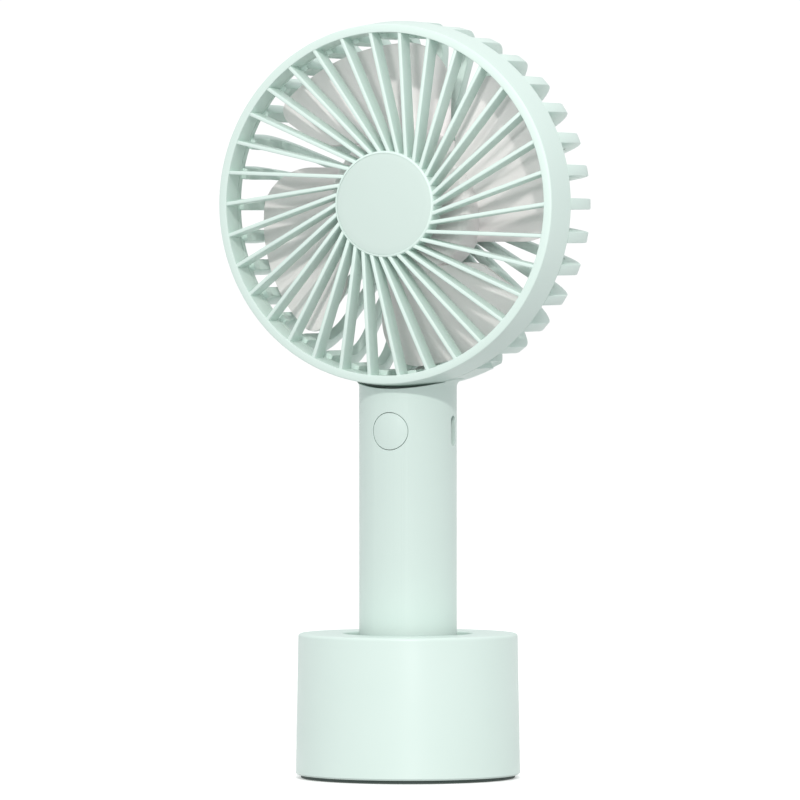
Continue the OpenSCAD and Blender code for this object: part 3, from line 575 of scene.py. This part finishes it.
# %% [markdown]
# Flat vanes run from the ring to a small hub, each leaning two pitches clockwise, so the cage
# looks like a swirl. One vane is modelled as a bar and its edges are rounded. It is then turned
# round the axis, with a copy of its mesh for each place.

# %% One vane of the cover
vane_count = 34
pitch = 2 * math.pi / vane_count
vane_w, vane_depth = 1.1 * MM, 6.5 * MM
outer_end, inner_end = ring_inner_r + 0.8 * MM, badge_r + 0.35 * MM


def around_axis(angle, radius, depth):
    """A place in the head, its angle counted from +X towards +Z."""
    return Vector((radius * math.cos(angle), front + depth, head_z + radius * math.sin(angle)))


vane_set_back, vane_lag = 0.25 * MM, 2
vane_angle = math.pi / 2 + 0.5 * pitch
vane_from = around_axis(vane_angle, outer_end, 0)
vane_to = around_axis(vane_angle - vane_lag * pitch, inner_end, 0)
run = vane_to - vane_from
first_vane = block("vane", (vane_from + vane_to) / 2 + Vector((0, vane_set_back + vane_depth / 2, 0)),
                   (run.length, vane_depth, vane_w), (0, -math.atan2(run.z, run.x), 0))
apply_modifier(first_vane, "BEVEL", width=0.3 * MM, segments=3, limit_method="ANGLE")
print("vane in mm:", round(run.length / MM, 1), "long")


# %% Its copies
def turned_copy(piece, angle):
    """A copy with its own mesh, turned about the head's axis by an angle from +X to +Z."""
    copy = piece.copy()
    copy.data = piece.data.copy()
    bpy.context.scene.collection.objects.link(copy)
    turn = Matrix.Rotation(-angle, 4, "Y")
    copy.data.transform(Matrix.Translation(axis_at) @ turn @ Matrix.Translation(-axis_at))
    return copy


def copied_round(piece, count):
    """The piece and its copies, at equal angles round the head's axis."""
    return [piece] + [turned_copy(piece, -2 * math.pi * i / count) for i in range(1, count)]


def joined(name, parts):
    """Joins the parts into the first and names it."""
    only(parts[0])
    for part in parts[1:]:
        part.select_set(True)
    bpy.ops.object.join()
    return fresh(name)


vanes = copied_round(first_vane, vane_count)
print("vanes:", len(vanes))

# %% Hub of the cover
hub_r = badge_r + 0.7 * MM
seat_r = badge_r + 0.03 * MM
hub_outline = (
    [(0, 1.7 * MM), (seat_r, 1.7 * MM), (seat_r, 0.06 * MM)]
    + corner(hub_r - 0.55 * MM, 0.6 * MM, 0.55 * MM, -90, 0, 5)
    + [(hub_r, 6.6 * MM), (hub_r - 0.2 * MM, 6.75 * MM), (hub_r - 1.4 * MM, 6.75 * MM),
       (hub_r - 1.4 * MM, 3.2 * MM), (0, 3.2 * MM)])
cover_hub = turned("cover_hub", hub_outline, "Y", axis_at, steps=128)
front_cover = joined("front_cover", [cover, cover_hub] + vanes)
give(smooth(front_cover), mint)
place_piece(front_cover, "front_cover", "front_grille")

# %% [markdown]
# The hub's disc is a separate moulding pressed into the hub. It is very slightly domed, which
# shows as a soft change of tone across it, and it sits nearly flush in the bright bevelled rim.

# %% Disc on the hub
disc_outline = [(0, 0.05 * MM), (badge_r * 0.3, 0.055 * MM), (badge_r * 0.6, 0.08 * MM),
                (badge_r * 0.85, 0.13 * MM)]
disc_outline += corner(badge_r - 0.08 * MM, 0.24 * MM, 0.08 * MM, -90, 0, 3)
disc_outline += [(badge_r, 1.65 * MM), (0, 1.65 * MM)]
hub_disc = turned("hub_disc", disc_outline, "Y", axis_at, steps=128)
# The disc's deeper mint is painted shade that offsets the head spot.
give(smooth(hub_disc, 40), shaded_mint_disc)
place_piece(hub_disc, "front_cover", "grille_badge")

# %% [markdown]
# ## The cage's back
# The back half is a bowl of slim ribs. Each rib runs straight back from the ring, bends round a
# corner and comes in to a small hub, so it is one bar with a bend. First comes its middle line.

# %% Path of a rib
rib_count = 34
rib_w, rib_t, rib_tip_t = 4.8 * MM, 3.3 * MM, 2.5 * MM
bend_r, bend_steps = 10.5 * MM, 8
skin = 0.05 * MM
wall_end = head_depth - bend_r
rib_start = ring_depth + 0.3 * MM
rib_inside_start = ring_depth - 2.9 * MM
rear_hub_r = 17.5 * MM


def rib_path():
    """Middle line of a rib as (radius, depth, heading in degrees), from the ring to the hub."""
    mid = rib_w / 2
    path = [(head_r - mid - skin, rib_start, 90), (head_r - mid - skin, wall_end, 90)]
    turn_r = bend_r - mid
    for step in range(1, bend_steps + 1):
        bent = 90 * step / bend_steps
        t = math.radians(bent)
        path.append((head_r - bend_r - skin + turn_r * math.cos(t), wall_end + turn_r * math.sin(t),
                     90 + bent))
    path.append((rear_hub_r - 0.8 * MM, path[-1][1], 180))
    return path


print("rib path:", len(rib_path()), "points")

# %% [markdown]
# A flat end face is extruded along that line and turned a little at a time, and it gets thinner
# on the way. With no window the rotate operator turns the other way, so its angle has a minus
# sign. A short foot reaches forward inside the ring, where the rib runs on into the ring's wall.

# %% One rib of the back
def rib(name):
    """Extrudes a bar's end face along the path, in the plane of the head's axis and +X."""
    path = rib_path()
    radius, depth, heading = path[0]
    place = Vector((radius, front + depth, head_z))
    bpy.ops.object.select_all(action="DESELECT")
    bpy.ops.mesh.primitive_plane_add(size=1, location=place, rotation=(math.pi / 2, 0, 0))
    piece = fresh(name)
    piece.scale = (rib_w, rib_t, 1)
    settle(piece)
    pick(piece, "FACE", lambda face: True)
    thinner = (rib_tip_t / rib_t) ** (1 / len(path[1:-1]))
    for after_r, after_d, after_h in path[1:]:
        target_place = Vector((after_r, front + after_d, head_z))
        bpy.ops.mesh.extrude_region_move(TRANSFORM_OT_translate={"value": target_place - place})
        bpy.ops.transform.resize(value=(1, 1, thinner), center_override=target_place)
        bpy.ops.transform.rotate(value=-math.radians(after_h - heading), orient_axis="Z",
                                 center_override=target_place)
        place, heading = target_place, after_h
    bpy.ops.mesh.select_all(action="SELECT")
    bpy.ops.mesh.normals_make_consistent(inside=False)
    bpy.ops.object.mode_set(mode="OBJECT")
    return piece


first_rib = rib("rib")
foot_r, foot_deep = rib_w - 2.1 * MM, rib_start + 0.3 * MM - rib_inside_start
rib_foot = block("rib_foot", (head_r - rib_w + foot_r / 2, front + rib_inside_start + foot_deep / 2, head_z),
                 (foot_r, foot_deep, rib_t - 0.1 * MM))
first_rib = joined("rib", [first_rib, rib_foot])
print("rib:", len(first_rib.data.polygons), "faces, mm",
      [round(v * 1000, 1) for v in first_rib.dimensions])
apply_modifier(first_rib, "BEVEL", width=0.22 * MM, segments=2, limit_method="ANGLE",
               angle_limit=math.radians(40))
print("rounded rib:", len(first_rib.data.polygons), "faces")

# %% [markdown]
# The lowest ribs stand inside the solid part of the wall that belongs to the handle, so they
# are drawn a little narrower there. All the others are copies of the first.

# %% All the ribs
rib_pitch = 2 * math.pi / rib_count
saddle_half, saddle_ease = 2.5 * rib_pitch, math.radians(1)
low_rib_r = head_r - 1.45 * MM
ribs = []
for number in range(rib_count):
    from_bottom = (number + 0.5) * rib_pitch
    near = min(from_bottom, 2 * math.pi - from_bottom)
    copy = turned_copy(first_rib, -math.pi / 2 + from_bottom)
    if near < saddle_half + saddle_ease:
        for v in copy.data.vertices:
            out = Vector((v.co.x, 0, v.co.z - head_z))
            if out.length > low_rib_r and v.co.y - front < wall_end + 3 * MM:
                out *= low_rib_r / out.length
                v.co.x, v.co.z = out.x, out.z + head_z
    ribs.append(copy)
bpy.data.objects.remove(first_rib)
print("ribs:", len(ribs))

# %% Ring and hub of the back
rim_r = head_r - 1.8 * MM
rim_wall_r = rim_r - 0.6 * MM
rim_front, rim_step, rim_end = ring_depth - 4.3 * MM, ring_depth - 2.6 * MM, rib_start + 0.3 * MM
rim_outline = [(ring_inner_r, rim_front), (rim_r, rim_front), (rim_r, rim_end),
               (rim_wall_r, rim_end), (rim_wall_r, rim_step), (ring_inner_r, rim_step)]
back_rim = turned("back_rim", rim_outline, "Y", axis_at, steps=256)
tube_r = 4 * MM
rear_outline = (
    [(tube_r, head_depth - 3.4 * MM), (rear_hub_r - 1.6 * MM, head_depth - 3.4 * MM),
     (rear_hub_r - 1.6 * MM, head_depth - 5.1 * MM), (rear_hub_r, head_depth - 5.1 * MM)]
    + corner(rear_hub_r - 0.6 * MM, head_depth - 0.6 * MM, 0.6 * MM, 0, 90, 5)
    + [(tube_r + 0.3 * MM, head_depth), (tube_r, head_depth - 0.3 * MM)])
back_hub = turned("back_hub", rear_outline, "Y", axis_at, steps=128)
print("rim and hub:", len(back_rim.data.polygons), "and", len(back_hub.data.polygons), "faces")

# %% [markdown]
# The motor's leads run down the back in a closed channel between the hub and the handle. It is
# a block with rounded edges, and it is joined with the ribs, the rim and the hub.

# %% Lead channel, and the whole back
channel_w, channel_deep = 6 * MM, 4.8 * MM
channel_from, channel_to = rear_hub_r - 0.8 * MM, head_r - bend_r
lead_channel = block(
    "lead_channel", (0, front + head_depth - 2.5 * MM, head_z - (channel_from + channel_to) / 2),
    (channel_w, channel_deep, channel_to - channel_from))
apply_modifier(lead_channel, "BEVEL", width=0.5 * MM, segments=3, limit_method="ANGLE")
back_cage = joined("back_cage", ribs + [back_rim, back_hub, lead_channel])
give(smooth(back_cage), mint)
place_piece(back_cage, "fan", "rear_grille")

# %% [markdown]
# ## The handle
# The handle is a smooth round tube that flares softly into the underside of the head. It is one
# moulding with the solid part of the head's wall. The tube is turned, the wall is turned about
# the head's axis, and the two are united. The head's hollow is then cut from both, and so are
# the button's hole and the charging slot.

# %% Tube with its flare
tube_low = cap_high.z
bore = handle_r - 1.9 * MM
neck_z = head_z - head_r
flare, plug_up, plug_down = 2.3 * MM, 9 * MM, 2.2 * MM
tube_outline = (
    [(bore, tube_low), (handle_r - 0.15 * MM, tube_low), (handle_r, tube_low + 0.15 * MM)]
    + corner(handle_r + flare, neck_z, flare, 180, 90, 10)
    + [(handle_r + flare, neck_z + plug_up), (0, neck_z + plug_up),
       (0, neck_z - plug_down), (bore, neck_z - plug_down)])
handle = turned("handle_tube", tube_outline, steps=256)
print("tube:", len(handle.data.polygons), "faces")

# %% Solid part of the head's wall
saddle_in_r = head_r - 1.5 * MM
saddle_from, saddle_to = rib_start - 1 * MM, wall_end + 1 * MM
saddle_outline = [(saddle_in_r - 2 * MM, saddle_from), (head_r, saddle_from),
                  (head_r, saddle_to), (saddle_in_r - 2 * MM, saddle_to)]
half_angle = math.degrees(saddle_half)
saddle = turned("saddle", saddle_outline, "Y", axis_at, steps=96, sweep=2 * half_angle,
                start=-90 - half_angle)
print("saddle:", [round(v * 1000, 1) for v in saddle.dimensions])


def combine(piece, tool, how):
    """Unites, or cuts, with an exact boolean, and removes the tool."""
    apply_modifier(piece, "BOOLEAN", object=tool, operation=how, solver="EXACT")
    bpy.data.objects.remove(tool)
    return piece


combine(handle, saddle, "UNION")

# %% Hollow of the head
hollow_front, hollow_r = -4 * MM, head_r + 0.3 * MM
hollow_outline = (
    [(0, hollow_front), (hollow_r, hollow_front), (hollow_r, rib_start),
     (saddle_in_r, rib_start), (saddle_in_r, wall_end), (head_r + skin, wall_end)]
    + corner(head_r - bend_r, wall_end, bend_r + skin, 0, 90, 12)
    + [(0, head_depth + skin)])
hollow = turned("hollow", hollow_outline, "Y", axis_at, steps=384)
combine(handle, hollow, "DIFFERENCE")
print("handle cut:", len(handle.data.polygons), "faces")

# %% Button hole and charging slot
button_at = (button_low + button_high) / 2
hole_r, hole_deep = 5.45 * MM, 10 * MM
bpy.ops.object.select_all(action="DESELECT")
bpy.ops.mesh.primitive_cylinder_add(vertices=96, radius=hole_r, depth=hole_deep,
                                    location=(0, -handle_r, button_at.z),
                                    rotation=(math.pi / 2, 0, 0))
combine(handle, settle(fresh("hole_tool")), "DIFFERENCE")
slot_long, slot_wide, slot_deep = 8.7 * MM, 3.1 * MM, 10 * MM
slot_tool = block("slot_tool", (handle_r, 0, button_at.z), (slot_deep, slot_wide, slot_long))
pick(slot_tool, "EDGE", lambda e: abs(e.verts[0].co.x - e.verts[1].co.x) > slot_deep / 2)
bpy.ops.mesh.bevel(offset=slot_wide * 0.49, segments=8)
bpy.ops.object.mode_set(mode="OBJECT")
combine(handle, slot_tool, "DIFFERENCE")
print("handle with its openings:", len(handle.data.polygons), "faces")

# %% Broken edges
apply_modifier(handle, "BEVEL", width=0.18 * MM, segments=2, limit_method="ANGLE",
               angle_limit=math.radians(50))
handle.name = "handle_housing"
# The handle's deeper mint is painted shade that offsets the spots.
give(smooth(handle, 30), shaded_mint_handle)
place_piece(handle, "fan", "handle_shell")

# %% [markdown]
# ## The push button
# The button's face follows the round wall of the handle, so only the fine gap round it shows.
# It starts as a thick disc, and the handle's own cylinder is intersected with it. Its rim is
# broken by a small radius, and a wider flange behind keeps it from falling out.

# %% Button
visible_r, flange_r = 5.25 * MM, (button_high.x - button_low.x) / 2


def disc(name, radius, near_y, far_y, vertices=96):
    """A disc across the button's axis, from one depth to another."""
    bpy.ops.object.select_all(action="DESELECT")
    bpy.ops.mesh.primitive_cylinder_add(
        vertices=vertices, radius=radius, depth=far_y - near_y,
        location=(0, (near_y + far_y) / 2, button_at.z), rotation=(math.pi / 2, 0, 0))
    return settle(fresh(name))


print("button back at y", round(button_high.y / MM, 2), "flange radius", round(flange_r / MM, 2))
push_button = disc("push_button", visible_r, -handle_r - 1 * MM, -handle_r + 4 * MM)
wall_from, wall_to = button_low.z - 6 * MM, button_high.z + 6 * MM
round_wall = turned("round_wall", [(0, wall_from), (handle_r, wall_from), (handle_r, wall_to),
                                   (0, wall_to)], steps=256)
combine(push_button, round_wall, "INTERSECT")
apply_modifier(push_button, "BEVEL", width=0.22 * MM, segments=3, limit_method="ANGLE",
               angle_limit=math.radians(50))

# %% What holds the button in
tube_bore = handle_r - 1.8 * MM
flange_y = 0.3 * MM - math.sqrt(tube_bore ** 2 - flange_r ** 2)
disc_body = disc("button_body", visible_r - 0.3 * MM, -handle_r + 3.5 * MM, flange_y + 0.5 * MM)
flange_disc = disc("button_flange", flange_r, flange_y, flange_y + 1 * MM)
apply_modifier(flange_disc, "BEVEL", width=0.15 * MM, segments=2, limit_method="ANGLE")
boss_r = 2.2 * MM
boss = disc("button_boss", boss_r, flange_y + 0.5 * MM, button_high.y, 48)
push_button = joined("push_button", [push_button, disc_body, flange_disc, boss])
# The button takes the handle's deeper mint, which is painted shade.
give(smooth(push_button, 35), shaded_mint_handle)
place_piece(push_button, "button", "button_cap")

# %% [markdown]
# ## The impeller
# Four broad blades stand on a round hub. A blade is a warped sheet: its trailing edge is near
# the front of the head and points straight out from the axis, and its leading edge lies
# deeper and passes beside the axis. Its tip has large round corners.

# %% Hub of the impeller
fan_r = (blade_high.x - blade_low.x) / 2
hub_front = blade_low.y - front
hub_back_depth = blade_high.y - front
blade_hub_r = 21.5 * MM
impeller_hub = turned(
    "impeller_hub",
    [(1 * MM, hub_front)]
    + corner(blade_hub_r - 2.4 * MM, hub_front + 2.4 * MM, 2.4 * MM, -90, 0, 8)
    + [(blade_hub_r, hub_back_depth - 0.2 * MM), (blade_hub_r - 0.2 * MM, hub_back_depth),
       (blade_hub_r - 1.3 * MM, hub_back_depth), (blade_hub_r - 1.3 * MM, hub_front + 1.6 * MM),
       (3.2 * MM, hub_front + 1.6 * MM), (3.2 * MM, hub_front + 4.4 * MM),
       (1 * MM, hub_front + 4.4 * MM)],
    "Y", axis_at, steps=160)
print("hub of the impeller:", len(impeller_hub.data.polygons), "faces")

# %% [markdown]
# No operator warps a sheet like this, so the blade starts as a flat grid and a short rule gives
# each of its points a place: how far out it lies, and how far it is from the trailing to the
# leading edge. Solidify then gives the sheet its wall, and a bevel rounds the moulded edges.

# %% Outline of a blade
blade_from = hub_front + 1.6 * MM
blade_to = hub_back_depth - 0.8 * MM
root_r, tip_r = blade_hub_r - 0.65 * MM, fan_r - 0.02 * MM
trail_turn, blade_turn, lead_offset = math.radians(56), math.radians(56.5), 10.3 * MM
trail_corner, lead_corner = 5 * MM, 12 * MM
blade_count, blade_steps, blade_columns = 4, 32, 12


def edge_angles(r):
    """Angles of the trailing and the leading edge at this radius."""
    near = max(0, 1 - (r - blade_hub_r) / (10.5 * MM))
    return trail_turn - math.radians(19.5) * near ** 2, trail_turn - blade_turn - math.asin(lead_offset / r)


def corner_turn(r, c):
    """The angle by which a round corner of radius c takes the edge in at this radius."""
    over = r - tip_r + c
    return (c - math.sqrt(max(0, c * c - over * over))) / r if over > 0 else 0


def blade_place(r, across):
    """A point of the blade: across goes from 0 at the trailing edge to 1 at the leading edge."""
    trail, lead = edge_angles(r)
    first, last = trail - corner_turn(r, trail_corner), lead + corner_turn(r, lead_corner)
    angle = first + (last - first) * across
    share = (trail - angle) / (trail - lead)
    return around_axis(angle, r, blade_from + (blade_to - blade_from) * share ** 1.12)


def row_radius(row):
    """Rows are closer together near the tip, where the corners are round."""
    return root_r + (tip_r - root_r) * math.sin(math.pi / 2 * row / blade_steps)


print("blade from radius", round(root_r / MM, 1), "to", round(tip_r / MM, 1))

# %% One blade
bpy.ops.object.select_all(action="DESELECT")
bpy.ops.mesh.primitive_grid_add(x_subdivisions=blade_columns * 2, y_subdivisions=blade_steps, size=1)
blade = settle(fresh("blade"))
for v in blade.data.vertices:
    row, across = round((v.co.y + 0.5) * blade_steps), v.co.x + 0.5
    v.co = blade_place(row_radius(row), across)
print("blade:", len(blade.data.polygons), "faces")

# %% Thickness, rounded edges and the four copies
pick(blade, "FACE", lambda face: True)
bpy.ops.mesh.normals_make_consistent(inside=False)
bpy.ops.object.mode_set(mode="OBJECT")
apply_modifier(blade, "SOLIDIFY", thickness=1.2 * MM, offset=0)
apply_modifier(blade, "BEVEL", width=0.42 * MM, segments=3, limit_method="ANGLE",
               angle_limit=math.radians(60))
pick(blade, "FACE", lambda face: True)
bpy.ops.mesh.normals_make_consistent(inside=False)
bpy.ops.object.mode_set(mode="OBJECT")
blades = copied_round(blade, blade_count)
fan_wheel = joined("fan_wheel", [impeller_hub] + blades)
give(smooth(fan_wheel, 40), blade_plastic)
place_piece(fan_wheel, "rotor", "impeller")
